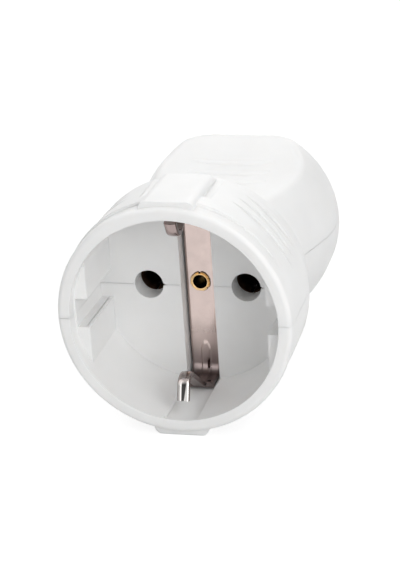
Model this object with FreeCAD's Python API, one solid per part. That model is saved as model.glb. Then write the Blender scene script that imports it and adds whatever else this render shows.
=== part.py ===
"""Inline earthed socket connector: two half shells with the contacts, earth strap and cord clamp."""
import FreeCAD
import Part

import math
import os

# Millimetres. X runs to the right, Y along the axis from the mouth to the cord end, and Z up.
# The origin is on the axis, in the plane of the rim. The half shells meet on the plane Z = 0.

# Mouth and drum
mouth_radius = 19.6
mouth_depth = 2.6
rim_wall = 2.4
rim_round = 0.9
step_height = 0.6
step_setback = 3.2
step_fade = 66.0
drum_length = 17.6
drum_taper = 0.3
shoulder_height = 0.4
collar_slope = 0.15
collar_length = 4.8
dome_radius = 12.0
dome_length = 5.5
dome_bulge = 1.1
neck_overlap = 1.5

# Recess for the plug
recess_depth = 18.0
recess_draft = 0.3
land_half_width = 16.85
land_setback = 2.8
guide_half_height = 2.84
guide_half_width = 19.2
land_skin = 0.65
land_relief = 0.18
land_relief_depth = 3.0
floor_thickness = 6.5
pin_spacing = 19.0
pin_hole_diameter = 5.65
pin_diameter = 4.8
pin_notch = 0.4

# Flat pads on the top and the bottom of the drum, with a slot along each side
pad_half_width = 5.2
pad_rise = 0.25
pad_setback = 0.8
pad_round = 1.5
pad_corner = 1.5
pad_root = 1.5
slot_width = 1.4
slot_depth = 0.7
slot_length = 10.5

# Grip grooves on the flanks of the drum
groove_count = 3
groove_pitch = 2.9
groove_width = 2.5
groove_depth = 0.55
groove_angle = 55.0
groove_half_span = 25.0
groove_margin = 2.0

# Flared grip with a finger scoop above and below
body_length = 60.0
waist_radius = 15.8
waist_setback = 2.5
flare_radius = 20.2
flare_setback = 9.0
end_radius = 20.1
end_round = 4.0
shell_wall = 2.2
end_wall = 2.4
scoop_height = 12.4
scoop_setback = 24.0
scoop_radius = 50.5
crest_round = 2.0
ridge_count = 3
ridge_setback = 10.9
ridge_pitch = 3.9
ridge_sweep = 30.0
ridge_thickness = 0.9
ridge_height = 0.45
ridge_half_width = 8.5
ridge_dip = 14.0

# Earth strap
strap_width = 5.6
strap_thickness = 1.0
strap_setback = 2.5
strap_reach = 19.7
strap_bend = 2.3
strap_side_gap = 0.4
strap_end_gap = 0.4
strap_foot = 5.5
strap_edge = 0.4
channel_lip = 0.6
pocket_gap = 0.1
bed_height = 1.2
dart_half_width = 0.65
dart_depth = 0.45
dart_start = 12.3
dart_foot = 2.6
relief_diameter = 0.8
relief_gap = 0.5
finger_width = 2.2
finger_thickness = 0.8
finger_apex_position = 5.0
finger_tip_position = 3.2
finger_tip_top = 18.2
finger_tip_bottom = 17.05
finger_apex_top = 14.7
finger_apex_bottom = 11.9
finger_bend = 2.2
finger_corner = 0.8
finger_edge = 0.25

# Earth rivet and earth terminal
rivet_bore = 2.65
rivet_wall = 0.45
rivet_rim = 4.2
rivet_rim_height = 0.5
rivet_clearance = 0.1
earth_plate_width = 8.0
earth_plate_height = 11.0
earth_plate_thickness = 1.4
earth_block_length = 7.0
earth_block_gap = 2.6
earth_block_rise = 2.6

# Line and neutral contacts
sleeve_wall = 1.05
pin_play = 0.1
sleeve_clearance = 0.1
seat_web = 4.4
lead_in = 1.2
slit_width = 0.7
slit_margin = 2.6
ring_wire = 0.9
ring_position = 5.2
ring_opening = 1.6
ring_clearance = 0.05
block_side = 8.0
block_length = 8.5
block_chamfer = 0.6
wire_hole_diameter = 3.2

# Ribs that hold the contacts
rib_thickness = 2.0
front_rib_gap = 4.5
rib_inner_edge = 5.0
stop_thickness = 1.2
stop_overlap = 0.2
wire_notch = 4.6

# Screws
terminal_screw_diameter = 3.5
terminal_head_diameter = 5.8
terminal_head_height = 2.2
terminal_head_gap = 0.6
terminal_slot_width = 0.9
terminal_slot_depth = 1.1
housing_screw_diameter = 3.0
housing_head_diameter = 5.8
housing_head_height = 2.0
housing_seat = 8.5
housing_screw_length = 16.0
cross_width = 0.8
cross_length = 3.4
cross_depth = 1.3
screw_clearance = 0.1
head_clearance = 0.4
head_round = 0.5
boss_wall = 2.0
middle_boss_gap = 1.0
rear_screw_setback = 10.0
rear_screw_offset = 12.0

# Cord clamp and cord inlet
cord_diameter = 8.4
cord_play = 1.5
inlet_lead = 0.8
clamp_setback = 5.3
clamp_width = 3.6
clamp_half_length = 9.4
clamp_base = 1.0
clamp_arch = 1.2
clamp_round = 1.2
clamp_screw_offset = 6.9
clamp_screw_diameter = 2.8
clamp_head_diameter = 5.0
clamp_head_height = 1.8
clamp_screw_length = 10.5
clamp_post_wall = 1.2
saddle_half_width = 4.4
saddle_thickness = 2.4

# Parting of the half shells
seam_gap = 0.05
peg_diameter = 2.2
peg_height = 2.4
peg_root = 1.0
peg_clearance = 0.1
peg_offset = 15.4

# Sizes that follow from the ones above
rim_radius = mouth_radius + rim_wall
drum_radius = rim_radius + step_height
pad_height = drum_radius + pad_rise
collar_end = drum_length + collar_length
shoulder_radius = rim_radius - drum_taper
collar_start = shoulder_radius - shoulder_height
collar_radius = collar_start - collar_slope * collar_length
fade_width = rim_radius * math.cos(math.radians(step_fade))
saddle_offset = (drum_radius ** 2 - rim_radius ** 2) / 2 / (drum_radius - fade_width)
saddle_radius = drum_radius - saddle_offset
floor_back = recess_depth + floor_thickness
waist_position = floor_back + waist_setback
flare_position = body_length - flare_setback
scoop_position = body_length - scoop_setback
ridge_last = body_length - ridge_setback
strap_front = recess_depth + strap_setback
strap_back = strap_front + strap_thickness
foot_front = strap_front - strap_foot
channel_half_width = strap_width / 2 + strap_side_gap
channel_reach = strap_reach + strap_end_gap
pin_offset = pin_spacing / 2
sleeve_bore = pin_diameter + pin_play
sleeve_radius = sleeve_bore / 2 + sleeve_wall
sleeve_front = recess_depth + seat_web
boss_radius = housing_screw_diameter / 2 + boss_wall
head_pocket_radius = housing_head_diameter / 2 + head_clearance
rear_screw_position = body_length - rear_screw_setback
clamp_position = body_length - clamp_setback
block_back = rear_screw_position - boss_radius - stop_thickness + stop_overlap
block_front = block_back - block_length
block_top = block_side / 2
earth_plate_back = floor_back + earth_plate_thickness
earth_block_front = earth_plate_back + earth_block_gap
earth_block_back = earth_block_front + earth_block_length
middle_screw_position = earth_block_back + middle_boss_gap + boss_radius
earth_bottom = -earth_plate_height / 2
rivet_radius = rivet_bore / 2 + rivet_wall
terminal_hole_radius = terminal_screw_diameter / 2 + screw_clearance
cord_radius = cord_diameter / 2
inlet_radius = (cord_diameter + cord_play) / 2
clamp_top = cord_radius + clamp_arch
tail_start = collar_end - neck_overlap
big = 2 * body_length
tolerance = 1e-6

ORIGIN = FreeCAD.Vector(0, 0, 0)
X_AXIS = FreeCAD.Vector(1, 0, 0)
Y_AXIS = FreeCAD.Vector(0, 1, 0)
Z_AXIS = FreeCAD.Vector(0, 0, 1)


def at(x, y, z=0.0):
    return FreeCAD.Vector(x, y, z)


def block(x_range, y_range, z_range):
    size = [high - low for low, high in (x_range, y_range, z_range)]
    return Part.makeBox(*size, at(x_range[0], y_range[0], z_range[0]))


def rod_y(radius, start, end, x=0.0, z=0.0):
    return Part.makeCylinder(radius, end - start, at(x, start, z), Y_AXIS)


def rod_z(radius, bottom, top, x=0.0, y=0.0):
    return Part.makeCylinder(radius, top - bottom, at(x, y, bottom), Z_AXIS)


def line(start, end):
    return Part.LineSegment(start, end).toShape()


def arc(start, middle, end):
    return Part.Arc(start, middle, end).toShape()


def corner_arc(centre, radius, from_angle, to_angle):
    """Arc in the XY plane about a centre, between two angles in degrees from +X."""
    angles = (from_angle, (from_angle + to_angle) / 2, to_angle)
    points = [centre + radius * at(math.cos(math.radians(a)), math.sin(math.radians(a))) for a in angles]
    return arc(*points)


def smooth_rise(start, end):
    """Curve in the XY plane that leaves and arrives parallel to the axis."""
    third = (end.y - start.y) / 3
    curve = Part.BezierCurve()
    curve.setPoles([start, start + third * Y_AXIS, end - third * Y_AXIS, end])
    return curve.toShape()


def turned(edges):
    """Solid turned about the Y axis from a closed profile in the XY plane."""
    return Part.Face(Part.Wire(Part.__sortEdges__(edges))).revolve(ORIGIN, Y_AXIS, 360)


def mirrored(shape, normal):
    return shape.mirror(ORIGIN, normal)


def both_sides(shape, normal):
    return [shape, mirrored(shape, normal)]


# Outer form of the housing


def drum():
    """Rim, drum, the shoulder behind it and the domed collar."""
    rim_corner = at(rim_radius - rim_round, 0)
    rim_side = at(rim_radius, rim_round)
    step_foot = at(rim_radius, step_setback)
    drum_edge = at(shoulder_radius, drum_length)
    shoulder_foot = at(collar_start, drum_length)
    collar_edge = at(collar_radius, collar_end)
    dome_edge = at(dome_radius, collar_end + dome_length)
    dome_middle = (collar_edge + dome_edge) / 2 + at(dome_bulge, dome_bulge)
    back = at(0, dome_edge.y)
    edges = [
        line(ORIGIN, rim_corner),
        corner_arc(at(rim_radius - rim_round, rim_round), rim_round, -90, 0),
        line(rim_side, step_foot),
        line(step_foot, drum_edge),
        line(drum_edge, shoulder_foot),
        line(shoulder_foot, collar_edge),
        arc(collar_edge, dome_middle, dome_edge),
        line(dome_edge, back),
        line(back, ORIGIN),
    ]
    return turned(edges)


def saddle():
    """Raised top of the drum behind the step, which fades out down both flanks."""
    start = at(0, step_setback, saddle_offset)
    length = drum_length - step_setback
    return Part.makeCone(saddle_radius, saddle_radius - drum_taper, length, start, Y_AXIS)


def saddle_surface(angle):
    """Distance of the raised surface from the axis, at an angle from the top."""
    across = saddle_offset * math.sin(angle)
    return saddle_offset * math.cos(angle) + math.sqrt(saddle_radius ** 2 - across ** 2)


def flare_profile(start, inset, end, rounding):
    """Profile of the grip, from the neck to the cord end, set in from the outer form."""
    neck = at(waist_radius - inset, start)
    waist = at(waist_radius - inset, waist_position)
    shoulder = at(flare_radius - inset, flare_position)
    rim = at(end_radius - inset, end - rounding)
    front = at(0, start)
    back = at(0, end)
    edges = [line(front, neck), line(neck, waist), smooth_rise(waist, shoulder), line(shoulder, rim)]
    last = rim
    if rounding > 0:
        edges.append(corner_arc(rim - at(rounding, 0), rounding, 0, 90))
        last = rim + at(-rounding, rounding)
    return edges + [line(last, back), line(back, front)]


def scoop(inset):
    """Round bar that cuts the finger scoop into the top of the grip."""
    radius = scoop_radius + inset
    centre = at(-big / 2, scoop_position, scoop_height + scoop_radius)
    return Part.makeCylinder(radius, big, centre, X_AXIS)


def scoop_surface(position):
    return scoop_height + scoop_radius - math.sqrt(scoop_radius ** 2 - (position - scoop_position) ** 2)


def crest_edges(solid):
    """Edges where a scoop meets the round sides of the grip."""
    found = {}
    for face in solid.Faces:
        if isinstance(face.Surface, Part.Cylinder) and abs(face.Surface.Radius - scoop_radius) < tolerance:
            for edge in face.Edges:
                if edge.BoundBox.YMin > tail_start or edge.BoundBox.YLength > tolerance:
                    found[edge.hashCode()] = edge
    return list(found.values())


def ridge(position):
    """Crescent across a scoop: part of a ring that dips below the surface at its two ends."""
    slope = math.degrees(math.asin((position - scoop_position) / scoop_radius)) - ridge_dip
    ring = Part.makeTorus(ridge_sweep, ridge_thickness, ORIGIN, Z_AXIS)
    ring.translate(at(0, ridge_sweep, ridge_height - ridge_thickness))
    reach = ridge_half_width ** 2 / ridge_sweep
    window = block(
        (-ridge_half_width, ridge_half_width),
        (-2 * ridge_thickness, reach),
        (-2 * ridge_thickness, 2 * ridge_thickness),
    )
    piece = ring.common(window)
    piece.rotate(ORIGIN, X_AXIS, slope)
    piece.translate(at(0, position, scoop_surface(position)))
    return piece


def grip():
    """Flared grip with both scoops, soft crests and the ridges across each scoop."""
    solid = turned(flare_profile(tail_start, 0, body_length, end_round))
    solid = solid.cut(both_sides(scoop(0), Z_AXIS))
    solid = solid.makeFillet(crest_round, crest_edges(solid))
    ridges = [ridge(ridge_last - ridge_pitch * index) for index in range(ridge_count)]
    return solid.fuse(ridges + [mirrored(piece, Z_AXIS) for piece in ridges])


def pad():
    """Raised flat on the top of the drum."""
    solid = block(
        (-pad_half_width, pad_half_width),
        (pad_setback, drum_length),
        (drum_radius - pad_root, pad_height),
    )
    upright = [e for e in solid.Edges if e.BoundBox.ZLength > pad_root / 2]
    rear = [e for e in upright if e.BoundBox.YMin > drum_length / 2]
    solid = solid.makeFillet(pad_corner, rear)
    on_top = [e for e in solid.Edges if e.BoundBox.ZMin > pad_height - tolerance]
    long_edges = [e for e in on_top if e.BoundBox.YLength > drum_length / 2]
    return solid.makeFillet(pad_round, long_edges)


def pad_slot():
    """Slot along the right side of the top pad, open at the back of the drum."""
    floor_level = math.sqrt(drum_radius ** 2 - (pad_half_width + slot_width) ** 2) - slot_depth / 2
    return block(
        (pad_half_width, pad_half_width + slot_width),
        (drum_length - slot_length, drum_length + collar_length / 2),
        (floor_level, drum_radius + slot_depth),
    )


def grip_groove(position):
    """Ring, set off the axis, that cuts a groove which deepens backwards and fades out at both ends."""
    span = math.radians(groove_half_span)
    angle = math.radians(groove_angle)
    surface = saddle_surface(angle)
    floor_radius = surface - groove_depth
    offset = (surface ** 2 - floor_radius ** 2) / 2 / (floor_radius - surface * math.cos(span))
    radius = floor_radius + offset
    x = -offset * math.sin(angle)
    z = -offset * math.cos(angle)
    front = position - groove_width
    outer = rod_y(radius + drum_radius, front, position, x, z)
    return outer.cut(Part.makeCone(radius + groove_depth, radius, groove_width, at(x, front, z), Y_AXIS))


def grip_grooves():
    last = drum_length - groove_margin
    grooves = [grip_groove(last - groove_pitch * index) for index in range(groove_count)]
    right = grooves + [mirrored(groove, Z_AXIS) for groove in grooves]
    return right + [mirrored(groove, X_AXIS) for groove in right]


def outer_form():
    solid = drum().fuse(both_sides(saddle(), Z_AXIS)).cut(grip_grooves())
    slots = both_sides(pad_slot(), X_AXIS)
    solid = solid.cut(slots + [mirrored(slot, Z_AXIS) for slot in slots])
    return solid.fuse([grip()] + both_sides(pad(), Z_AXIS))


# Spaces inside the housing


def recess():
    """Plug recess with a flat land on each side, and a guide groove through each land."""
    back_radius = mouth_radius - recess_draft
    points = [
        at(0, -rim_wall),
        at(mouth_radius, -rim_wall),
        at(mouth_radius, mouth_depth),
        at(back_radius, recess_depth),
        at(0, recess_depth),
    ]
    bowl = turned([line(a, b) for a, b in zip(points, points[1:] + points[:1])])
    behind = (land_setback, 2 * recess_depth)
    land = block((land_half_width, big), behind, (-big, big))
    guide = block((0, guide_half_width), behind, (-guide_half_height, guide_half_height))
    return bowl.cut(both_sides(land.cut(guide), X_AXIS))


def land_relief_slot():
    """Narrow slot behind the skin of the lower left land, open towards the guide groove."""
    inner = -land_half_width - land_skin
    return block(
        (inner - land_relief, inner),
        (land_setback + land_skin, recess_depth - land_skin),
        (-guide_half_height - land_relief_depth, 0),
    )


def strap_channel():
    """Channel in the recess walls and floor for the earth strap, deeper beside its bed on the floor."""
    across = (-channel_half_width, channel_half_width)
    walls = block(across, (channel_lip, recess_depth), (-channel_reach, channel_reach))
    pocket_reach = strap_reach + pocket_gap
    pocket = block(across, (recess_depth, strap_back), (-pocket_reach, pocket_reach))
    bed_reach = strap_reach - strap_bend
    groove = block(
        (strap_width / 2 - strap_edge, channel_half_width),
        (strap_front, strap_back + bed_height),
        (-bed_reach, bed_reach),
    )
    return walls.fuse([pocket] + both_sides(groove, X_AXIS))


def cavity():
    """Space behind the recess floor for the terminals and the cord."""
    rounding = max(end_round - shell_wall, 0)
    solid = turned(flare_profile(floor_back, shell_wall, body_length - end_wall, rounding))
    return solid.cut(both_sides(scoop(shell_wall), Z_AXIS))


def contact_spaces():
    """Pin holes, and the seats behind them for the contact sleeves."""
    spaces = []
    for side in (-1, 1):
        x = side * pin_offset
        spaces.append(rod_y(pin_hole_diameter / 2, 0, floor_back, x))
        spaces.append(rod_y(sleeve_radius + sleeve_clearance, sleeve_front, block_front, x))
        edge = x + pin_hole_diameter / 2
        spaces.append(block((x, edge + pin_notch), (0, floor_back), (-pin_notch / 2, pin_notch / 2)))
    return spaces


def inlet():
    """Cord inlet through the end wall, with a lead-in."""
    bore = rod_y(inlet_radius, body_length - 2 * end_wall, body_length)
    lead = Part.makeCone(
        inlet_radius, inlet_radius + inlet_lead, inlet_lead, at(0, body_length - inlet_lead), Y_AXIS
    )
    return bore.fuse(lead)


# Ribs and bosses inside the housing


def contact_ribs():
    """Cross ribs that carry the sleeves, and stops behind the terminal blocks."""
    plates = []
    for start, thickness in (
        (floor_back + front_rib_gap, rib_thickness),
        (block_front - rib_thickness, rib_thickness),
        (block_back, stop_thickness),
    ):
        plates.append(block((rib_inner_edge, big / 2), (start, start + thickness), (-big / 2, big / 2)))
    notch = block((pin_offset - wire_notch / 2, pin_offset + wire_notch / 2), (block_back, body_length),
                  (-wire_notch / 2, wire_notch / 2))
    right = plates[0].fuse(plates[1:]).cut(notch)
    return right.fuse(mirrored(right, X_AXIS))


def housing_screw_places():
    return [
        (0.0, middle_screw_position),
        (rear_screw_offset, rear_screw_position),
        (-rear_screw_offset, rear_screw_position),
    ]


def upper_bosses():
    return [rod_z(boss_radius, 0, big / 2, x, y) for x, y in housing_screw_places()]


def lower_bosses():
    pocket_wall = head_pocket_radius + boss_wall / 2
    bosses = []
    for x, y in housing_screw_places():
        bosses.append(rod_z(boss_radius, -big / 2, 0, x, y))
        bosses.append(rod_z(pocket_wall, -big / 2, boss_wall - housing_seat, x, y))
    return bosses


def housing_screw_holes():
    holes = []
    for x, y in housing_screw_places():
        top = housing_screw_length - housing_seat + 2 * screw_clearance
        holes.append(rod_z(housing_screw_diameter / 2 + screw_clearance, -housing_seat, top, x, y))
        holes.append(rod_z(head_pocket_radius, -big / 2, -housing_seat, x, y))
    return holes


def clamp_posts():
    """Two posts for the cord clamp, and the saddle that the cord lies in."""
    radius = clamp_screw_diameter / 2 + clamp_post_wall
    posts = [rod_z(radius, -big / 2, clamp_base, x, clamp_position)
             for x in (-clamp_screw_offset, clamp_screw_offset)]
    saddle = block(
        (-saddle_half_width, saddle_half_width),
        (clamp_position - saddle_thickness / 2, clamp_position + saddle_thickness / 2),
        (-big / 2, -cord_radius / 2),
    )
    return posts + [saddle.cut(rod_y(cord_radius, 0, body_length))]


def clamp_screw_holes():
    bottom = clamp_top - clamp_screw_length - screw_clearance
    return [rod_z(clamp_screw_diameter / 2 + screw_clearance, bottom, big / 2, x, clamp_position)
            for x in (-clamp_screw_offset, clamp_screw_offset)]


def pegs(radius, bottom, top):
    """Pegs or peg holes that line up the half shells beside the recess floor."""
    y = recess_depth + floor_thickness / 2
    return [rod_z(radius, bottom, top, x, y) for x in (-peg_offset, peg_offset)]


# Half shells


def housing():
    """The whole housing, hollow, before it is parted."""
    rivet_hole = rod_y(rivet_radius + rivet_clearance, strap_front, floor_back)
    spaces = [recess(), strap_channel(), cavity(), inlet(), rivet_hole]
    return outer_form().cut(spaces + [land_relief_slot()] + contact_spaces())


def fitted(parts, space):
    """Ribs and bosses cut to the space that they stand in."""
    solid = parts[0].fuse(parts[1:]) if len(parts) > 1 else parts[0]
    return solid.common(space)


def upper_shell(whole, space):
    half = block((-big, big), (-big, big), (seam_gap / 2, big))
    shell = whole.common(half)
    ribs = fitted([contact_ribs()], space).common(half)
    shell = shell.fuse([ribs, fitted(upper_bosses(), space)])
    shell = shell.cut(contact_spaces() + housing_screw_holes())
    return shell.fuse(pegs(peg_diameter / 2, -peg_height, peg_root)).removeSplitter()


def lower_shell(whole, space):
    half = block((-big, big), (-big, big), (-big, -seam_gap / 2))
    shell = whole.common(half)
    ribs = fitted([contact_ribs()], space).common(half)
    shell = shell.fuse([ribs, fitted(lower_bosses() + clamp_posts(), space)])
    holes = contact_spaces() + housing_screw_holes() + clamp_screw_holes()
    holes += pegs(peg_diameter / 2 + peg_clearance, -peg_height - peg_clearance, 0)
    return shell.cut(holes).removeSplitter()


# Earth strap


def strip_side(path, radii, offset):
    """Edges of one face of a bent strip: straight runs with a tangent arc at each corner."""
    edges = []
    runs = [(b - a).normalize() for a, b in zip(path, path[1:])]
    left = [X_AXIS.cross(run) for run in runs]
    start = path[0] + left[0] * offset
    for corner, radius, run, after, side, side_after in zip(
        path[1:], radii, runs, runs[1:], left, left[1:]
    ):
        turn = 1 if run.cross(after).dot(X_AXIS) > 0 else -1
        reach = radius * math.tan(run.getAngle(after) / 2)
        centre = corner - run * reach + side * turn * radius
        towards = (corner - centre).normalize()
        arc_start = corner - run * reach + side * offset
        arc_end = corner + after * reach + side_after * offset
        edges.append(line(start, arc_start))
        edges.append(arc(arc_start, centre + towards * (radius - turn * offset), arc_end))
        start = arc_end
    edges.append(line(start, path[-1] + left[-1] * offset))
    return edges


def strip(path, radii, width, thickness):
    """Sheet metal strip along a path in the YZ plane, as wide as given along X."""
    one = strip_side(path, radii, thickness / 2)
    other = strip_side(path, radii, -thickness / 2)
    caps = [
        line(one[0].Vertexes[0].Point, other[0].Vertexes[0].Point),
        line(one[-1].Vertexes[-1].Point, other[-1].Vertexes[-1].Point),
    ]
    face = Part.Face(Part.Wire(Part.__sortEdges__(one + other + caps)))
    face.translate(X_AXIS * (-width / 2))
    return face.extrude(X_AXIS * width)


def finger(apex, tip):
    """Spring finger at the top of the strap, bent inwards and back over itself to a round end."""
    foot_level = strap_reach - strap_thickness + finger_thickness / 2
    path = [
        at(0, foot_front + finger_width, foot_level),
        at(0, foot_front, foot_level),
        at(0, finger_apex_position, apex),
        at(0, finger_tip_position, tip),
    ]
    solid = strip(path, [finger_bend, finger_bend], finger_width, finger_thickness)
    through = [e for e in solid.Edges if abs(e.Length - finger_thickness) < tolerance]
    solid = solid.makeFillet(finger_corner, [e for e in through if e.BoundBox.YMax < finger_apex_position])
    sides = [e for e in solid.Edges if e.BoundBox.XLength < tolerance]
    return solid.makeFillet(finger_edge, [e for e in sides if abs(e.Length - finger_thickness) > tolerance])


def dart():
    """Stiffening dart pressed into the inside of the upper bend, with a round end on the bar."""
    inner_face = strap_reach - strap_thickness
    inner_bend = strap_bend - strap_thickness / 2
    bend_start = strap_front - inner_bend
    bend_level = inner_face - inner_bend
    across = (-dart_half_width, dart_half_width)
    deepest = strap_front + dart_depth
    head_level = dart_start + dart_half_width
    head = rod_y(dart_half_width, bend_start, deepest, 0, head_level)
    bar = block(across, (bend_start, deepest), (head_level, bend_level))
    foot = block(across, (bend_start - dart_foot, bend_start), (bend_level, inner_face + dart_depth))
    centre = at(-dart_half_width, bend_start, bend_level)
    corner = Part.makeCylinder(inner_bend + dart_depth, 2 * dart_half_width, centre, X_AXIS)
    return head.fuse([bar, foot, corner])


def foot_reliefs():
    """Small holes beside the root of the upper finger."""
    x = finger_width / 2 + relief_gap
    y = foot_front + relief_gap + relief_diameter / 2
    return both_sides(rod_z(relief_diameter / 2, 0, strap_reach, x, y), X_AXIS)


def earth_strap():
    middle = strap_front + strap_thickness / 2
    level = strap_reach - strap_thickness / 2
    path = [
        at(0, foot_front, level),
        at(0, middle, level),
        at(0, middle, -level),
        at(0, foot_front, -level),
    ]
    solid = strip(path, [strap_bend, strap_bend], strap_width, strap_thickness)
    side_edges = [e for e in solid.Edges if e.BoundBox.XLength < tolerance]
    long_edges = [e for e in side_edges if e.Length > 2 * strap_thickness]
    solid = solid.makeFillet(strap_edge, long_edges)
    upper = finger(finger_apex_top, finger_tip_top)
    lower = mirrored(finger(finger_apex_bottom, finger_tip_bottom), Z_AXIS)
    solid = solid.fuse([upper, lower])
    upper_cuts = [dart()] + foot_reliefs()
    lower_cuts = [mirrored(cut, Z_AXIS) for cut in upper_cuts]
    rivet_hole = rod_y(rivet_radius + rivet_clearance, 0, floor_back)
    return solid.cut(upper_cuts + lower_cuts + [rivet_hole]).removeSplitter()


# Earth rivet and terminal


def earth_rivet():
    """Tubular rivet through the strap, the recess floor and the terminal, flared at both ends."""
    bore = rivet_bore / 2
    rim = rivet_rim / 2
    front = strap_front - rivet_rim_height
    back = earth_plate_back + rivet_rim_height
    front_lip = [at(bore, front), at((bore + rim) / 2, front), at(rim, strap_front)]
    back_lip = [at(rim, earth_plate_back), at((bore + rim) / 2, back), at(bore, back)]
    shank_front = at(rivet_radius, strap_front)
    shank_back = at(rivet_radius, earth_plate_back)
    edges = [
        line(front_lip[0], front_lip[1]),
        line(front_lip[1], front_lip[2]),
        line(front_lip[2], shank_front),
        line(shank_front, shank_back),
        line(shank_back, back_lip[0]),
        line(back_lip[0], back_lip[1]),
        line(back_lip[1], back_lip[2]),
        line(back_lip[2], front_lip[0]),
    ]
    return turned(edges)


def earth_terminal():
    """Plate behind the recess floor with a pillar block for the earth wire."""
    across = (-earth_plate_width / 2, earth_plate_width / 2)
    tongue_top = earth_bottom + earth_plate_thickness
    plate = block(across, (floor_back, earth_plate_back), (earth_bottom, -earth_bottom))
    tongue = block(across, (floor_back, earth_block_back), (earth_bottom, tongue_top))
    pillar = block(across, (earth_block_front, earth_block_back), (earth_bottom, earth_block_rise))
    solid = plate.fuse([tongue, pillar]).removeSplitter()
    solid = solid.cut(rod_y(rivet_radius + rivet_clearance, floor_back, earth_plate_back))
    wire_level = earth_wire_level()
    wire = rod_y(wire_hole_diameter / 2, earth_block_front, earth_block_back, 0, wire_level)
    hole = rod_z(terminal_hole_radius, wire_level, earth_block_rise, 0, earth_screw_position())
    return solid.cut([wire, hole])


def earth_screw_position():
    return (earth_block_front + earth_block_back) / 2


def earth_wire_level():
    return earth_bottom + earth_plate_thickness + wire_hole_diameter / 2


# Line and neutral contacts


def contact():
    """Split sleeve with a pillar terminal, on the Y axis."""
    sleeve = rod_y(sleeve_radius, sleeve_front, block_front)
    half = block_side / 2
    pillar = block((-half, half), (block_front, block_back), (-half, half))
    along = [e for e in pillar.Edges if e.BoundBox.YLength > block_length / 2]
    pillar = pillar.makeChamfer(block_chamfer, along)
    slit_end = block_front - slit_margin
    slit = block((-slit_width / 2, slit_width / 2), (sleeve_front, slit_end), (-half, half))
    groove = Part.makeTorus(sleeve_radius, ring_wire / 2 + ring_clearance, ring_centre(), Y_AXIS)
    wire = rod_y(wire_hole_diameter / 2, block_front + block_chamfer, block_back)
    screw_hole = rod_z(terminal_hole_radius, 0, block_top, 0, block_screw_position())
    bore = rod_y(sleeve_bore / 2, sleeve_front, block_front)
    lead = Part.makeCone(pin_hole_diameter / 2, sleeve_bore / 2, lead_in, at(0, sleeve_front), Y_AXIS)
    return sleeve.fuse(pillar).cut([bore, lead, slit, groove, wire, screw_hole])


def ring_centre():
    return at(0, sleeve_front + ring_position)


def spring_ring():
    """Open wire ring that closes the split sleeve on the pin."""
    ring = Part.makeTorus(sleeve_radius, ring_wire / 2, ring_centre(), Y_AXIS)
    gap = block(
        (0, 2 * sleeve_radius),
        (ring_centre().y - ring_wire, ring_centre().y + ring_wire),
        (-ring_opening / 2, ring_opening / 2),
    )
    return ring.cut(gap)


def block_screw_position():
    return (block_front + block_back) / 2


# Screws


def screw(shank_diameter, length, head_diameter, head_height):
    """Pan head screw along Z: the head stands on the plane Z = 0 and the shank hangs below it."""
    head = rod_z(head_diameter / 2, 0, head_height)
    rim = [e for e in head.Edges if e.BoundBox.ZMin > head_height / 2]
    head = head.makeFillet(head_round, rim)
    shank = rod_z(shank_diameter / 2, -length, 0)
    tip = [e for e in shank.Edges if e.BoundBox.ZMax < -length / 2]
    return head.fuse(shank.makeChamfer(head_round, tip)).removeSplitter()


def slotted(piece, head_diameter, head_height, width, depth):
    level = (head_height - depth, 2 * head_height)
    return piece.cut(block((-head_diameter, head_diameter), (-width / 2, width / 2), level))


def crossed(piece, head_height):
    level = (head_height - cross_depth, 2 * head_height)
    long_way = (-cross_length / 2, cross_length / 2)
    short_way = (-cross_width / 2, cross_width / 2)
    return piece.cut([block(long_way, short_way, level), block(short_way, long_way, level)])


def terminal_screw(length):
    head = (terminal_head_diameter, terminal_head_height)
    piece = screw(terminal_screw_diameter, length, *head)
    return slotted(piece, *head, terminal_slot_width, terminal_slot_depth)


def pole_screw(side):
    piece = terminal_screw(block_top + terminal_head_gap)
    piece.translate(at(side * pin_offset, block_screw_position(), block_top + terminal_head_gap))
    return piece


def earth_screw():
    piece = terminal_screw(earth_block_rise + terminal_head_gap - earth_wire_level())
    piece.translate(at(0, earth_screw_position(), earth_block_rise + terminal_head_gap))
    return piece


def housing_screws():
    pieces = []
    for x, y in housing_screw_places():
        head = (housing_head_diameter, housing_head_height)
        piece = screw(housing_screw_diameter, housing_screw_length, *head)
        piece = crossed(piece, housing_head_height)
        piece.rotate(ORIGIN, X_AXIS, 180)
        piece.translate(at(x, y, -housing_seat))
        pieces.append(piece)
    return Part.makeCompound(pieces)


# Cord clamp


def cord_clamp():
    """Bar over the cord, arched in the middle."""
    bar = block(
        (-clamp_half_length, clamp_half_length),
        (clamp_position - clamp_width / 2, clamp_position + clamp_width / 2),
        (clamp_base, clamp_top),
    )
    ends = [e for e in bar.Edges if e.BoundBox.ZLength > clamp_arch]
    bar = bar.makeFillet(clamp_round, ends)
    holes = [rod_z(clamp_screw_diameter / 2 + screw_clearance, 0, big / 2, x, clamp_position)
             for x in (-clamp_screw_offset, clamp_screw_offset)]
    return bar.cut([rod_y(cord_radius, 0, body_length)] + holes)


def clamp_screws():
    pieces = []
    for x in (-clamp_screw_offset, clamp_screw_offset):
        piece = screw(clamp_screw_diameter, clamp_screw_length, clamp_head_diameter, clamp_head_height)
        piece = crossed(piece, clamp_head_height)
        piece.translate(at(x, clamp_position, clamp_top))
        pieces.append(piece)
    return Part.makeCompound(pieces)


def moved(shape, x):
    piece = shape.copy()
    piece.translate(at(x, 0))
    return piece


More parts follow.
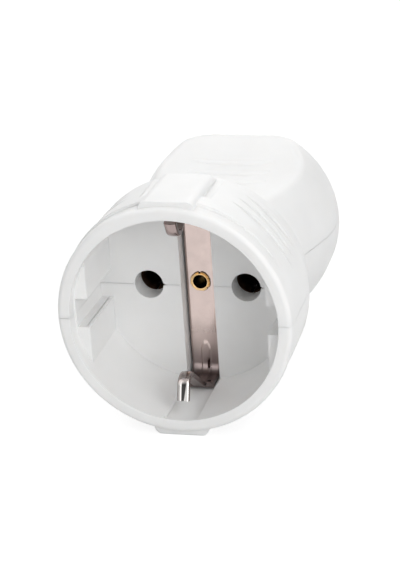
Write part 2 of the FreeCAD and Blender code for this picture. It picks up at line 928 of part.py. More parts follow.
def pieces():
    whole = housing()
    space = cavity()
    made = {
        "upper_shell": upper_shell(whole, space),
        "lower_shell": lower_shell(whole, space),
        "earth_strap": earth_strap(),
        "earth_rivet": earth_rivet(),
        "earth_terminal": earth_terminal(),
        "earth_terminal_screw": earth_screw(),
        "housing_screws": housing_screws(),
        "cord_clamp": cord_clamp(),
        "cord_clamp_screws": clamp_screws(),
    }
    for pole, side in (("line", -1), ("neutral", 1)):
        made[pole + "_contact"] = moved(contact(), side * pin_offset)
        made[pole + "_spring_ring"] = moved(spring_ring(), side * pin_offset)
        made[pole + "_terminal_screw"] = pole_screw(side)
    return made


def main():
    os.makedirs("parts", exist_ok=True)
    for name, shape in pieces().items():
        shape.exportStep(os.path.join("parts", name + ".step"))
        print(name, len(shape.Solids), shape.isValid(), round(shape.Volume, 1))


main()
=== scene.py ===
"""Looks of the inline socket connector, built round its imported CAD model."""
import math

import bmesh
import bpy
from mathutils import Matrix, Vector


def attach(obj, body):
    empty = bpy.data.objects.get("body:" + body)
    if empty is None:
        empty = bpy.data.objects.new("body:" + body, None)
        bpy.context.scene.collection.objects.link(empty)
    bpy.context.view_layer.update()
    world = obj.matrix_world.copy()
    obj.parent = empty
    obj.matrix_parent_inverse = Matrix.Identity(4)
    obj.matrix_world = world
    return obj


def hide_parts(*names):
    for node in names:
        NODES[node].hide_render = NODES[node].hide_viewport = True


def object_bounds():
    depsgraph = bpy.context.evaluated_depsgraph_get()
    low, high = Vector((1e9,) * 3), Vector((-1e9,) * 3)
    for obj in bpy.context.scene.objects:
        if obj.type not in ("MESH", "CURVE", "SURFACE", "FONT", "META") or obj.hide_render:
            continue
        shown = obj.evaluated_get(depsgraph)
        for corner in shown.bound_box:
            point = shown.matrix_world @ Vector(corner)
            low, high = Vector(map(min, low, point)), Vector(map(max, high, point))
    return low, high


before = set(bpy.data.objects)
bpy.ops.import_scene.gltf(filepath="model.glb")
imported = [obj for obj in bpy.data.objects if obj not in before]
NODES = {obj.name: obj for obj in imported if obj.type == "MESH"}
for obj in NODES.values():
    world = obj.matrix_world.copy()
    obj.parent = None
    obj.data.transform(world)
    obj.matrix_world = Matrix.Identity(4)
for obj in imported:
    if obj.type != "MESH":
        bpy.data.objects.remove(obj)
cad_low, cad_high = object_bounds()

# Lengths are in millimetres and angles in degrees, unless a comment says otherwise.
# A pair that a ramp takes is the place where it starts and the place where it is complete.
MM = 0.001
WHITE = (1.0, 1.0, 1.0, 1.0)

# Camera, fitted to the photograph; its focal length and the long side of the image are in pixels
AZIMUTH = 15.89
ELEVATION = 21.56
ROLL = -4.0
DISTANCE = 365.85
TARGET = Vector((-0.03, 20.0, -0.63))
FOCAL_PIXELS = 1923.6
LONG_SIDE = 570.0
SENSOR = 36.0
CLIP_START = 10.0
CLIP_END = 10000.0

# Lamps: name, place and watts; all are squares of one size and aim at one point
LAMP_SIZE = 300
LAMP_AIM = (0, 20, 0)
LAMPS = (
    ("key", (311, -291, 94), 0.74),
    ("high", (244, -224, 289), 0.58),
    ("left", (-244, -224, 289), 0.26),
    ("front", (-153, -401, 39), 0.22),
    ("back_left", (-224, 149, 369), 0.78),
    ("back", (0, 428, 190), 0.26),
    ("right", (222, 59, 390), 0.42),
)
WORLD_FILL = 0.12

# Floor: what the camera sees is a pale surface and a glow, and what lights the part is a plain surface
FLOOR_DROP = 0.02
FLOOR_SIZE = 3000.0
FLOOR_FADE = (120.0, 330.0)
FLOOR_NEAR_GLOW = 0.82
FLOOR_FAR_GLOW = 1.0
FLOOR_PALE = (0.3, 0.3, 0.3, 1.0)
FLOOR_PLAIN = (0.75, 0.75, 0.75, 1.0)

# Plastic
TONE_SIZE = 9.0
GLOSS_SIZE = 2.5
SINK_SIZE = 6.0
SINK_DEPTH = 0.02
PLASTIC_IOR = 1.49
SCATTER_WEIGHT = 0.45
SCATTER_REACH = 1.0
SCATTER_COLOURS = (1.0, 0.95, 0.9)
SOFT_EDGE = 0.35
SOFT_EDGE_SAMPLES = 6
SOFT_EDGE_RADIUS = (19.6, 19.9)
SOFT_EDGE_HEIGHT = (0.3, 0.6)

# Tones of the earth strap, by place along X, Y and Z; most of them are painted reflection and painted shade
BAR_REFLECTION_Z = (-11.0, -17.0)
FOOT_REFLECTION_Z = (-17.6, -18.6)
FINGER_REAR_Y = (14.6, 13.6)
FINGER_FRONT_Y = (7.4, 6.0)
UPPER_FINGER_Z = (-1.0, 1.0)
LEG_REFLECTION_Z = (-13.2, -14.1)
SHADED_X = (-0.35, -0.6)
CENTRE_REFLECTION_Y = (6.4, 5.4)
CENTRE_REFLECTION_Z = (-13.3, -14.0)
CENTRE_REFLECTION_LEFT = (-0.35, -0.15)
CENTRE_REFLECTION_RIGHT = (2.58, 2.35)
CENTRE_REFLECTION_SLANT = -0.13
EDGE_SHADE_X = (1.0, 1.1)
DULL_Y = (6.4, 8.0)
DULL_Z = (-8.0, -12.5)
DULL_ROUGHNESS = 0.2

# Tones of the rivet and the contacts, with painted shade down the rivet's bore and deep inside the contacts
RIVET_BROWN_RADIUS = (1.93, 2.06)
RIVET_BORE_SHADE_Y = (20.12, 20.5)
CONTACT_SHADE_Y = (22.5, 25.5)

# Earth strap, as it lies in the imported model; a path runs in Y and Z
STRAP_WIDTH = 5.6
STRAP_THICKNESS = 1.0
STRAP_MIDDLE = 21.0
STRAP_LEVEL = 19.2
STRAP_FOOT = 15.0
STRAP_BEND = 2.3
STRAP_EDGE = 0.4
STRAP_STEP = 0.3
DART_MIDDLE = 0.15
DART_HALF_WIDTH = 1.05
DART_FLANK = 0.3
DART_RISE = 0.16
DART_TOP = 12.6
DART_TOP_BLEND = 0.4
DART_TIP_SHARE = 0.45
DART_WIDENS = 1.6
DART_FOOT = 16.6
DART_FOOT_BLEND = 1.0
CREASE_MIDDLE = 0.62
CREASE_HALF_WIDTH = 0.3
CREASE_DEPTH = 0.75
CREASE_TOP = (15.9, 16.8)
CREASE_END = (18.4, 17.8)
FINGER_WIDTH = 2.3
FINGER_THICKNESS = 0.95
FINGER_EDGE = 0.22
FINGER_BEND = 2.2
FINGER_CROWN = 0.22
FINGER_CROWN_Y = (9.0, 6.0)
FINGER_ROOT = (17.2, 19.1)
FINGER_HEEL = (15.0, 19.1)
FINGER_TOP_BENDS = ((5.0, 14.7), (3.2, 18.2))
FINGER_LOW_BENDS = ((5.0, 11.9), (3.2, 17.05))
RELIEF_PLACE = (1.6, 15.9)
RELIEF_RADIUS = 0.4
EDGE_ANGLES = (30, 55, 75, 90)
STRAP_COLUMNS = 30
FINGER_COLUMNS = 10
BEND_STEPS = 3
ROD_SIDES = 48
SHARP_ANGLE = 40

# Earth rivet: the waves, nicks and groove of its front rim, and the radius and depth of its profile's corners
RIVET_HOLE = 1.875
RIVET_SIDES = 160
RIVET_FRONT = (20.52, 20.48)
RIVET_ROLL = (1.55, 2.1)
RIVET_TRIM = 0.1
RIVET_TEARS = ((3, 0.6, 0.045), (8, 1.9, 0.03), (17, 0.4, 0.02))
RIVET_NICKS = ((92, 7, 0.3), (205, 5, 0.15), (318, 5, 0.18), (20, 4, 0.1))
RIVET_GROOVE = 0.12
RIVET_GROOVE_SHARE = 0.4
RIVET_GROOVE_INNER = (1.62, 1.7)
RIVET_GROOVE_OUTER = (1.84, 1.76)
RIVET_GROOVE_SIDE = 45
RIVET_GROOVE_TURN = (0.0, 0.8)
RIVET_PROFILE = (
    (1.325, 20.3), (1.345, 20.14), (1.4, 20.05), (1.48, 20.01), (1.56, 20.0),
    (1.62, 20.01), (1.66, 20.03), (1.69, 20.05), (1.73, 20.06), (1.77, 20.05),
    (1.83, 20.05), (1.9, 20.09), (1.97, 20.16), (2.03, 20.26), (2.08, 20.38),
    (2.1, 20.49), (1.775, 20.52), (1.775, 25.9), (2.1, 25.9), (2.02, 26.1),
    (1.9, 26.28), (1.72, 26.4), (1.5, 26.4), (1.38, 26.36), (1.325, 26.25),
)


# Node helpers


def colour(red, green, blue):
    return (red, green, blue, 1.0)


def add_node(tree, kind, inputs=None, **settings):
    """A new node with its settings made and its inputs linked or filled in."""
    node = tree.nodes.new(kind)
    for key, value in settings.items():
        setattr(node, key, value)
    for key, value in (inputs or {}).items():
        if isinstance(value, bpy.types.NodeSocket):
            tree.links.new(value, node.inputs[key])
        else:
            node.inputs[key].default_value = value
    return node


class Shader:
    """A material whose nodes are added one after another."""

    def __init__(self, name):
        self.material = bpy.data.materials.new(name)
        self.material.use_nodes = True
        self.tree = self.material.node_tree
        self.tree.nodes.clear()

    def add(self, kind, inputs=None, **settings):
        return add_node(self.tree, kind, inputs, **settings)

    def finish(self, socket):
        self.add("ShaderNodeOutputMaterial", {"Surface": socket})
        return self.material

    def principled(self, inputs):
        """The finished material, with one principled surface."""
        return self.finish(self.add("ShaderNodeBsdfPrincipled", inputs).outputs["BSDF"])

    def metallic(self, base, roughness, normal):
        return self.principled(
            {"Base Color": base, "Metallic": 1.0, "Roughness": roughness, "Normal": normal}
        )

    def position(self, scale=(1.0, 1.0, 1.0)):
        """Place on the object in metres, stretched by a factor along each axis."""
        place = self.add("ShaderNodeTexCoord").outputs["Object"]
        return self.add("ShaderNodeMapping", {"Vector": place, "Scale": scale}).outputs["Vector"]

    def axes(self, vector):
        """The three parts of a place, in metres."""
        return self.add("ShaderNodeSeparateXYZ", {"Vector": vector}).outputs

    def noise(self, vector, size, detail=3.0):
        inputs = {"Vector": vector, "Scale": 1.0 / (size * MM), "Detail": detail}
        return self.add("ShaderNodeTexNoise", inputs).outputs["Fac"]

    def spread(self, factor, low, high):
        """A noise factor spread to run from one number to another."""
        inputs = {"Value": factor, "From Min": 0.3, "From Max": 0.7, "To Min": low, "To Max": high}
        return self.add("ShaderNodeMapRange", inputs).outputs["Result"]

    def ramp(self, value, places):
        """Smooth rise from 0 to 1 between two places on the object."""
        start, end = places
        inputs = {"Value": value, "From Min": start * MM, "From Max": end * MM}
        node = self.add("ShaderNodeMapRange", inputs, interpolation_type="SMOOTHSTEP")
        return node.outputs["Result"]

    def calculate(self, operation, *values):
        node = self.add("ShaderNodeMath", dict(enumerate(values)), operation=operation)
        return node.outputs[0]

    def product(self, *factors):
        result = factors[0]
        for factor in factors[1:]:
            result = self.calculate("MULTIPLY", result, factor)
        return result

    def length(self, first, second):
        """Distance from an axis, from the two parts of a place across it."""
        total = self.calculate("ADD", self.product(first, first), self.product(second, second))
        return self.calculate("SQRT", total)

    def blend(self, factor, first, second):
        """A colour between two colours."""
        node = self.add("ShaderNodeMix", {0: factor, 6: first, 7: second}, data_type="RGBA")
        return node.outputs[2]

    def soft_edges(self, place):
        """Normals that round the outer edges of the drum, away from the parting line."""
        x, _, z = self.axes(place)
        outside = self.ramp(self.length(x, z), SOFT_EDGE_RADIUS)
        beside = self.ramp(self.calculate("ABSOLUTE", z), SOFT_EDGE_HEIGHT)
        bevel = self.add("ShaderNodeBevel", {"Radius": SOFT_EDGE * MM}, samples=SOFT_EDGE_SAMPLES)
        plain = self.add("ShaderNodeNewGeometry")
        inputs = {
            0: self.product(outside, beside),
            4: plain.outputs["Normal"],
            5: bevel.outputs["Normal"],
        }
        return self.add("ShaderNodeMix", inputs, data_type="VECTOR").outputs[1]

    def bump(self, height, depth, normal=None):
        inputs = {"Height": height, "Distance": depth * MM, "Strength": 1.0}
        if normal is not None:
            inputs["Normal"] = normal
        return self.add("ShaderNodeBump", inputs).outputs["Normal"]


# Materials


def white_plastic(name, first, second, roughness, grain_size, grain_depth):
    """Moulded thermoplastic: faint tone drift, fine mould grain, and gloss that varies."""
    shader = Shader(name)
    place = shader.position()
    tone = shader.spread(shader.noise(place, TONE_SIZE), 0.0, 1.0)
    grain = shader.noise(place, grain_size, detail=2.0)
    sink = shader.noise(place, SINK_SIZE, detail=1.0)
    normal = shader.bump(grain, grain_depth, normal=shader.soft_edges(place))
    return shader.principled(
        {
            "Base Color": shader.blend(tone, first, second),
            "Roughness": shader.spread(shader.noise(place, GLOSS_SIZE), *roughness),
            "Normal": shader.bump(sink, SINK_DEPTH, normal=normal),
            "IOR": PLASTIC_IOR,
            "Subsurface Weight": SCATTER_WEIGHT,
            "Subsurface Radius": SCATTER_COLOURS,
            "Subsurface Scale": SCATTER_REACH * MM,
        }
    )


def metal(name, first, second, roughness, stretch, grain_size, grain_depth, blotch_size):
    """Metal with a drawn or turned grain along the stretched axis and faint blotches of tarnish."""
    shader = Shader(name)
    grain = shader.noise(shader.position(stretch), grain_size, detail=4.0)
    blotch = shader.noise(shader.position(), blotch_size, detail=4.0)
    base = shader.blend(shader.spread(blotch, 0.0, 1.0), first, second)
    return shader.metallic(base, shader.spread(grain, *roughness), shader.bump(grain, grain_depth))


def strap_metal(name):
    """Plated strip: pale on the bar, with painted dark reflection towards the lower bend and on the foot,
    painted shade on the fingers' edges and rear legs, and painted dark reflection on the upper finger.

    The lower finger's front leg is bright below a browner top and darker on its left side, all painted
    reflection and painted shade, with a painted dark reflection down its middle.
    """
    shader = Shader(name)
    place = shader.position()
    x, y, z = shader.axes(place)
    grain = shader.noise(shader.position((1.0, 0.06, 0.06)), 0.12, detail=4.0)
    blotch = shader.spread(shader.noise(place, 3.0, detail=3.0), 0.0, 1.0)
    rear = shader.ramp(y, FINGER_REAR_Y)

    bar = shader.blend(blotch, colour(0.64, 0.525, 0.49), colour(0.57, 0.47, 0.44))
    # Painted dark reflection: the bar turns brown towards the lower bend and darker still on the foot.
    bar = shader.blend(shader.ramp(z, BAR_REFLECTION_Z), bar, colour(0.32, 0.26, 0.25))
    bar = shader.blend(shader.ramp(z, FOOT_REFLECTION_Z), bar, colour(0.17, 0.14, 0.135))
    # Painted shade: the fingers' rear legs and crowns are dark brown.
    bar = shader.blend(rear, bar, colour(0.25, 0.205, 0.195))

    # Painted shade: the lower finger is darker on its left side than on the rest.
    bright, shaded = colour(0.64, 0.615, 0.6), colour(0.36, 0.345, 0.335)
    lower = shader.blend(shader.ramp(x, SHADED_X), bright, shaded)
    # Painted reflection: the lower finger's front leg is browner at its top and bright below.
    lower = shader.blend(shader.ramp(z, LEG_REFLECTION_Z), colour(0.4, 0.35, 0.335), lower)
    # Painted dark reflection: the upper finger is darker brown.
    finger = shader.blend(shader.ramp(z, UPPER_FINGER_Z), lower, colour(0.38, 0.305, 0.29))
    # Painted dark reflection down the middle of the lower finger's front leg.
    slanted = shader.calculate("MULTIPLY_ADD", z, CENTRE_REFLECTION_SLANT, x)
    centre_reflection = shader.product(
        shader.ramp(x, CENTRE_REFLECTION_LEFT),
        shader.ramp(slanted, CENTRE_REFLECTION_RIGHT),
        shader.ramp(y, CENTRE_REFLECTION_Y),
        shader.ramp(z, CENTRE_REFLECTION_Z),
    )
    finger = shader.blend(centre_reflection, finger, colour(0.035, 0.033, 0.032))

    base = shader.blend(shader.ramp(y, FINGER_FRONT_Y), bar, finger)
    # Painted shade along the edges of the fingers.
    edge_shade = shader.product(shader.ramp(shader.calculate("ABSOLUTE", x), EDGE_SHADE_X), rear)
    base = shader.blend(edge_shade, base, colour(0.2, 0.15, 0.14))
    dull = shader.product(shader.ramp(z, DULL_Z), shader.ramp(y, DULL_Y))
    gloss = shader.spread(grain, 0.13, 0.22)
    roughness = shader.calculate("MULTIPLY_ADD", dull, DULL_ROUGHNESS, gloss)
    return shader.metallic(base, roughness, shader.bump(grain, 0.0025))


def rivet_metal(name):
    """Turned brass: bright on the rolled rim, brown at its torn edge, and painted shade that turns it nearly
    black down the bore.
    """
    shader = Shader(name)
    place = shader.position()
    x, y, z = shader.axes(place)
    grain = shader.noise(place, 0.16, detail=3.0)
    base = shader.blend(
        shader.spread(grain, 0.0, 1.0), colour(0.86, 0.61, 0.32), colour(0.74, 0.49, 0.23)
    )
    edge = shader.ramp(shader.length(x, z), RIVET_BROWN_RADIUS)
    base = shader.blend(edge, base, colour(0.3, 0.17, 0.08))
    # Painted shade: nearly black behind the front of the rim and down the bore.
    base = shader.blend(shader.ramp(y, RIVET_BORE_SHADE_Y), base, colour(0.02, 0.014, 0.009))
    return shader.metallic(base, shader.spread(grain, 0.18, 0.32), shader.bump(grain, 0.01))


def contact_metal(name):
    """Brass of the contact sleeves: brown with tarnish at the front, darkened as painted shade, and painted
    shade that turns it nearly black further in.
    """
    shader = Shader(name)
    place = shader.position()
    _, y, _ = shader.axes(place)
    grain = shader.noise(shader.position((1.0, 0.25, 1.0)), 0.15, detail=4.0)
    blotch = shader.spread(shader.noise(place, 0.8, detail=4.0), 0.0, 1.0)
    # The brown is brass darkened as painted shade, with blotches of real tarnish.
    base = shader.blend(blotch, colour(0.34, 0.21, 0.14), colour(0.24, 0.15, 0.1))
    # Painted shade: nearly black further into the contacts.
    base = shader.blend(shader.ramp(y, CONTACT_SHADE_Y), base, colour(0.05, 0.035, 0.025))
    return shader.metallic(base, shader.spread(grain, 0.3, 0.45), shader.bump(grain, 0.004))


def dress(material, *names):
    """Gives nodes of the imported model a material."""
    for name in names:
        mesh = NODES[name].data
        mesh.materials.clear()
        mesh.materials.append(material)


shell_white = white_plastic(
    "shell_white",
    colour(0.865, 0.865, 0.86),
    colour(0.9, 0.9, 0.895),
    roughness=(0.36, 0.46),
    grain_size=0.12,
    grain_depth=0.004,
)
clamp_white = white_plastic(
    "clamp_white",
    colour(0.74, 0.74, 0.73),
    colour(0.79, 0.79, 0.78),
    roughness=(0.45, 0.55),
    grain_size=0.2,
    grain_depth=0.008,
)
brass = metal(
    "brass",
    colour(0.8, 0.56, 0.2),
    colour(0.6, 0.38, 0.12),
    roughness=(0.2, 0.34),
    stretch=(1.0, 0.25, 1.0),
    grain_size=0.15,
    grain_depth=0.004,
    blotch_size=0.8,
)
screw_steel = metal(
    "screw_steel",
    colour(0.66, 0.66, 0.67),
    colour(0.56, 0.56, 0.58),
    roughness=(0.25, 0.4),
    stretch=(1.0, 1.0, 0.3),
    grain_size=0.2,
    grain_depth=0.004,
    blotch_size=1.0,
)
spring_steel = metal(
    "spring_steel",
    colour(0.36, 0.36, 0.38),
    colour(0.28, 0.28, 0.3),
    roughness=(0.3, 0.45),
    stretch=(1.0, 0.3, 1.0),
    grain_size=0.2,
    grain_depth=0.004,
    blotch_size=0.8,
)

dress(shell_white, "upper_shell", "lower_shell")
dress(clamp_white, "cord_clamp")
dress(brass, "earth_terminal")
dress(contact_metal("shaded_contact_brass"), "line_contact", "neutral_contact")
dress(spring_steel, "line_spring_ring", "neutral_spring_ring")
dress(
    screw_steel,
    "earth_terminal_screw",
    "line_terminal_screw",
    "neutral_terminal_screw",
    "cord_clamp_screws",
    "housing_screws",
)


# Earth strap and rivet


def smooth(value, start, end):
    """Smooth rise from 0 to 1 between two values."""
    share = min(max((value - start) / (end - start), 0.0), 1.0)
    return share * share * (3.0 - 2.0 * share)


def round_corners(corners, radius):
    """Points along straight runs with a round bend at each inner corner."""
    points = [corners[0]]
    for before, corner, after in zip(corners, corners[1:], corners[2:]):
        arriving = (corner - before).normalized()
        leaving = (after - corner).normalized()
        turn = arriving.angle(leaving)
        reach = radius * math.tan(turn / 2)
        inward = (leaving - arriving).normalized()
        centre = corner + inward * (radius / math.cos(turn / 2))
        first = corner - arriving * reach - centre
        last = corner + leaving * reach - centre
        count = max(BEND_STEPS, math.ceil(radius * turn / STRAP_STEP))
        for index in range(count + 1):
            points.append(centre + first.lerp(last, index / count).normalized() * radius)
    points.append(corners[-1])
    return points


def bent_path(corners, radius):
    """Closely spaced points along a bent path, each with the normal on its left."""
    points = round_corners([Vector(corner) for corner in corners], radius)
    spaced = [points[0]]
    for point in points[1:]:
        start = spaced[-1]
        count = max(1, math.ceil((point - start).length / STRAP_STEP))
        spaced.extend(start.lerp(point, (index + 1) / count) for index in range(count))
    rows = []
    for index, point in enumerate(spaced):
        ahead = spaced[min(index + 1, len(spaced) - 1)]
        behind = spaced[max(index - 1, 0)]
        run = (ahead - behind).normalized()
        rows.append((point, Vector((-run.y, run.x))))
    return rows


def across(half_width, edge, columns):
    """Places over the width of a strip, closer together on its rounded edges."""
    flat = half_width - edge
    rounded = [flat + edge * math.sin(math.radians(angle)) for angle in EDGE_ANGLES]
    inner = [flat * index / columns for index in range(-columns, columns + 1)]
    return [-place for place in reversed(rounded)] + inner + rounded


def as_object(name, builder):
    """A new object from a mesh under construction, with its faces turned outwards."""
    bmesh.ops.recalc_face_normals(builder, faces=builder.faces)
    mesh = bpy.data.meshes.new(name)
    builder.to_mesh(mesh)
    builder.free()
    piece = bpy.data.objects.new(name, mesh)
    bpy.context.scene.collection.objects.link(piece)
    return piece


def loft(builder, loops, closed):
    """Faces between neighbouring loops of points, and over the two ends unless the row is closed."""
    following = loops[1:] + loops[:1] if closed else loops[1:]
    for first, second in zip(loops, following):
        for index in range(len(first)):
            after = (index + 1) % len(first)
            builder.faces.new((first[index], first[after], second[after], second[index]))
    if not closed:
        builder.faces.new(loops[0])
        builder.faces.new(loops[-1])


def strip(name, rows, columns, width, thickness, edge, relief, flip=1):
    """Closed strip along a path in the YZ plane, whose faces a relief lifts towards the left."""
    builder = bmesh.new()
    places = across(width / 2, edge, columns)
    loops = []
    for point, normal in rows:
        loop = []
        for side, row in ((1, places), (-1, places[::-1])):
            for x in row:
                over = max(abs(x) - (width / 2 - edge), 0.0)
                fall = edge - math.sqrt(max(edge * edge - over * over, 0.0))
                lift = side * (thickness / 2 - fall) + relief(point, x, side)
                spot = point + normal * lift
                loop.append(builder.verts.new(Vector((x, spot.x, flip * spot.y)) * MM))
        loops.append(loop)
    loft(builder, loops, False)
    return as_object(name, builder)


def strap_relief(point, x, side):
    """Pressed dart over each bend, with a sharp crease in its inner face."""
    level = abs(point.y)
    start = DART_TOP - DART_TOP_BLEND
    length = smooth(level, start, DART_TOP + DART_TOP_BLEND)
    length *= smooth(point.x, DART_FOOT - DART_FOOT_BLEND, DART_FOOT + DART_FOOT_BLEND)
    widened = smooth(level, start, DART_TOP + DART_WIDENS)
    half_width = DART_HALF_WIDTH * (DART_TIP_SHARE + (1.0 - DART_TIP_SHARE) * widened)
    bead = DART_RISE * smooth(half_width - abs(x - DART_MIDDLE), 0.0, DART_FLANK)
    if side < 0:
        return length * bead
    reach = smooth(level, *CREASE_TOP) * smooth(level, *CREASE_END)
    inside = smooth(CREASE_HALF_WIDTH - abs(x - CREASE_MIDDLE), 0.0, CREASE_HALF_WIDTH)
    return length * (bead - reach * CREASE_DEPTH * inside)


def finger_relief(point, x, side):
    """Leg of a finger, bowed across its width towards the plug on both of its faces."""
    bow = 1.0 - (2.0 * x / FINGER_WIDTH) ** 2
    return FINGER_CROWN * smooth(point.x, *FINGER_CROWN_Y) * bow


def rods(name, places):
    """Round rods that cut holes: the middle, the direction, the radius and the length of each."""
    builder = bmesh.new()
    for middle, direction, radius, length in places:
        turn = Vector(direction).to_track_quat("Z", "Y").to_matrix().to_4x4()
        bmesh.ops.create_cone(
            builder,
            cap_ends=True,
            segments=ROD_SIDES,
            radius1=radius * MM,
            radius2=radius * MM,
            depth=length * MM,
            matrix=Matrix.Translation(Vector(middle) * MM) @ turn,
        )
    return as_object(name, builder)


def combine(piece, steps):
    """Joins or cuts a piece with helper objects, keeps the result as its mesh and deletes them."""
    for operation, helper in steps:
        modifier = piece.modifiers.new(operation.lower(), "BOOLEAN")
        modifier.operation = operation
        modifier.solver = "EXACT"
        modifier.object = helper
    bpy.context.view_layer.update()
    evaluated = piece.evaluated_get(bpy.context.evaluated_depsgraph_get())
    mesh = bpy.data.meshes.new_from_object(evaluated)
    piece.modifiers.clear()
    piece.data = mesh
    for _, helper in steps:
        bpy.data.objects.remove(helper)


def finish_piece(piece, material, node):
    """Smooths and dresses a piece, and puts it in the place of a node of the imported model."""
    piece.data.materials.clear()
    piece.data.materials.append(material)
    piece.data.shade_smooth()
    piece.data.set_sharp_from_angle(angle=math.radians(SHARP_ANGLE))
    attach(piece, "root")
    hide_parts(node)


def make_strap():
    """Earth strap with a pressed dart in each bend and a bowed spring finger at each end."""
    corners = [
        (STRAP_FOOT, -STRAP_LEVEL),
        (STRAP_MIDDLE, -STRAP_LEVEL),
        (STRAP_MIDDLE, STRAP_LEVEL),
        (STRAP_FOOT, STRAP_LEVEL),
    ]
    strap = strip(
        "earth_strip",
        bent_path(corners, STRAP_BEND),
        STRAP_COLUMNS,
        STRAP_WIDTH,
        STRAP_THICKNESS,
        STRAP_EDGE,
        strap_relief,
    )
    steps = []
    for name, bends, flip in (("upper", FINGER_TOP_BENDS, 1), ("lower", FINGER_LOW_BENDS, -1)):
        finger = strip(
            name,
            bent_path((FINGER_ROOT, FINGER_HEEL) + bends, FINGER_BEND),
            FINGER_COLUMNS,
            FINGER_WIDTH,
            FINGER_THICKNESS,
            FINGER_EDGE,
            finger_relief,
            flip,
        )
        steps.append(("UNION", finger))
    x, y = RELIEF_PLACE
    holes = [((0, STRAP_MIDDLE, 0), (0, 1, 0), RIVET_HOLE, 4 * STRAP_THICKNESS)]
    for side in (-1, 1):
        for end in (-1, 1):
            middle = (side * x, y, end * STRAP_LEVEL)
            holes.append((middle, (0, 0, 1), RELIEF_RADIUS, 2 * STRAP_THICKNESS))
    steps.append(("DIFFERENCE", rods("holes", holes)))
    combine(strap, steps)
    finish_piece(strap, strap_metal("strap_plate"), "earth_strap")


def rivet_point(radius, depth, angle):
    """A point of the rivet, whose front rim is rolled unevenly and torn at its edge."""
    front = smooth(depth, *RIVET_FRONT)
    outer = front * smooth(radius, *RIVET_ROLL)
    ragged = sum(height * math.sin(count * angle + phase) for count, phase, height in RIVET_TEARS)
    nick = sum(
        width * smooth(math.cos(angle - math.radians(place)), math.cos(math.radians(reach)), 1.0)
        for place, reach, width in RIVET_NICKS
    )
    radius = radius - outer * (RIVET_TRIM + ragged + nick)
    lip = front * smooth(radius, *RIVET_GROOVE_INNER) * smooth(radius, *RIVET_GROOVE_OUTER)
    facing = math.cos(angle - math.radians(RIVET_GROOVE_SIDE))
    groove = RIVET_GROOVE * (RIVET_GROOVE_SHARE + smooth(facing, *RIVET_GROOVE_TURN))
    depth = depth + lip * groove + outer * nick / 2
    return Vector((radius * math.cos(angle), depth, radius * math.sin(angle))) * MM


def make_rivet():
    """Tubular rivet turned from its profile, with a rolled rim at both ends."""
    builder = bmesh.new()
    loops = []
    for index in range(RIVET_SIDES):
        angle = 2 * math.pi * index / RIVET_SIDES
        points = [rivet_point(radius, depth, angle) for radius, depth in RIVET_PROFILE]
        loops.append([builder.verts.new(point) for point in points])
    loft(builder, loops, True)
    rivet = as_object("rolled_rivet", builder)
    finish_piece(rivet, rivet_metal("rivet_brass"), "earth_rivet")


make_strap()
make_rivet()


# Stage, light and camera


def background_share(tree):
    """1 where a ray from the camera, a reflection or glass meets the surface, and 0 elsewhere."""
    path = add_node(tree, "ShaderNodeLightPath").outputs
    share = path["Is Camera Ray"]
    for ray in ("Is Glossy Ray", "Is Transmission Ray"):
        share = add_node(
            tree, "ShaderNodeMath", {0: share, 1: path[ray]}, operation="MAXIMUM"
        ).outputs[0]
    return share


def floor_material():
    """White floor that keeps the shadow: a glow, stronger far out, added to a pale surface."""
    shader = Shader("floor_white")
    x, y, _ = shader.axes(shader.position())
    far = shader.ramp(shader.length(x, y), FLOOR_FADE)
    strength = shader.calculate(
        "MULTIPLY_ADD", far, FLOOR_FAR_GLOW - FLOOR_NEAR_GLOW, FLOOR_NEAR_GLOW
    )
    pale = shader.add("ShaderNodeBsdfDiffuse", {"Color": FLOOR_PALE})
    glow = shader.add("ShaderNodeEmission", {"Color": WHITE, "Strength": strength})
    both = shader.add("ShaderNodeAddShader", {0: pale.outputs[0], 1: glow.outputs[0]})
    plain = shader.add("ShaderNodeBsdfDiffuse", {"Color": FLOOR_PLAIN})
    seen = background_share(shader.tree)
    mix = shader.add("ShaderNodeMixShader", {0: seen, 1: plain.outputs[0], 2: both.outputs[0]})
    return shader.finish(mix.outputs[0])


def make_floor():
    mesh = bpy.data.meshes.new("floor")
    half = FLOOR_SIZE * MM / 2
    level = cad_low.z - FLOOR_DROP * MM
    corners = [(x * half, y * half, level) for x, y in ((-1, -1), (1, -1), (1, 1), (-1, 1))]
    mesh.from_pydata(corners, [], [(0, 1, 2, 3)])
    floor = bpy.data.objects.new("floor", mesh)
    bpy.context.scene.collection.objects.link(floor)
    mesh.materials.append(floor_material())


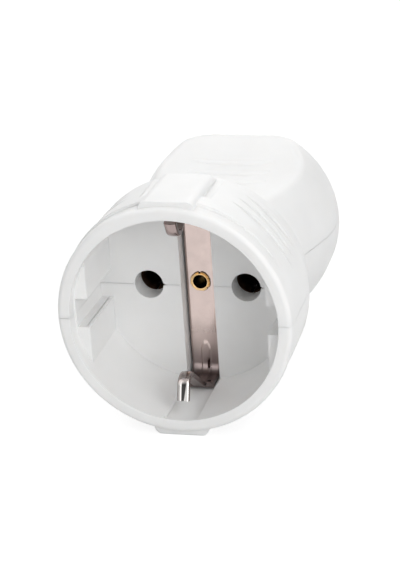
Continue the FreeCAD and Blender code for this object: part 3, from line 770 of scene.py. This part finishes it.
def make_world():
    """White where it is seen, and a weak fill light elsewhere."""
    world = bpy.data.worlds.new("studio")
    bpy.context.scene.world = world
    world.use_nodes = True
    tree = world.node_tree
    tree.nodes.clear()
    fill = add_node(tree, "ShaderNodeBackground", {"Color": WHITE, "Strength": WORLD_FILL})
    white = add_node(tree, "ShaderNodeBackground", {"Color": WHITE, "Strength": 1.0})
    seen = background_share(tree)
    mix = add_node(
        tree, "ShaderNodeMixShader", {0: seen, 1: fill.outputs[0], 2: white.outputs[0]}
    )
    add_node(tree, "ShaderNodeOutputWorld", {"Surface": mix.outputs[0]})


def make_lamp(name, place, watts):
    light = bpy.data.lights.new(name, "AREA")
    light.shape = "SQUARE"
    light.size = LAMP_SIZE * MM
    light.energy = watts
    lamp = bpy.data.objects.new(name, light)
    lamp.location = Vector(place) * MM
    lamp.rotation_mode = "QUATERNION"
    lamp.rotation_quaternion = (Vector(LAMP_AIM) - Vector(place)).to_track_quat("-Z", "Y")
    bpy.context.scene.collection.objects.link(lamp)


def make_camera():
    azimuth = math.radians(AZIMUTH)
    elevation = math.radians(ELEVATION)
    roll = math.radians(ROLL)
    back = Vector((
        math.sin(azimuth) * math.cos(elevation),
        -math.cos(azimuth) * math.cos(elevation),
        math.sin(elevation),
    ))
    level = (-back).cross(Vector((0, 0, 1))).normalized()
    upright = level.cross(-back)
    right = level * math.cos(roll) + upright * math.sin(roll)
    up = upright * math.cos(roll) - level * math.sin(roll)
    turn = Matrix((right, up, back)).transposed()
    data = bpy.data.cameras.new("camera")
    data.sensor_width = SENSOR
    data.lens = FOCAL_PIXELS * SENSOR / LONG_SIDE
    data.clip_start = CLIP_START * MM
    data.clip_end = CLIP_END * MM
    camera = bpy.data.objects.new("camera", data)
    camera.matrix_world = Matrix.Translation((TARGET + back * DISTANCE) * MM) @ turn.to_4x4()
    bpy.context.scene.collection.objects.link(camera)
    bpy.context.scene.camera = camera


make_floor()
make_world()
for lamp_name, lamp_place, lamp_watts in LAMPS:
    make_lamp(lamp_name, lamp_place, lamp_watts)
make_camera()
bpy.context.scene.view_settings.view_transform = "Standard"
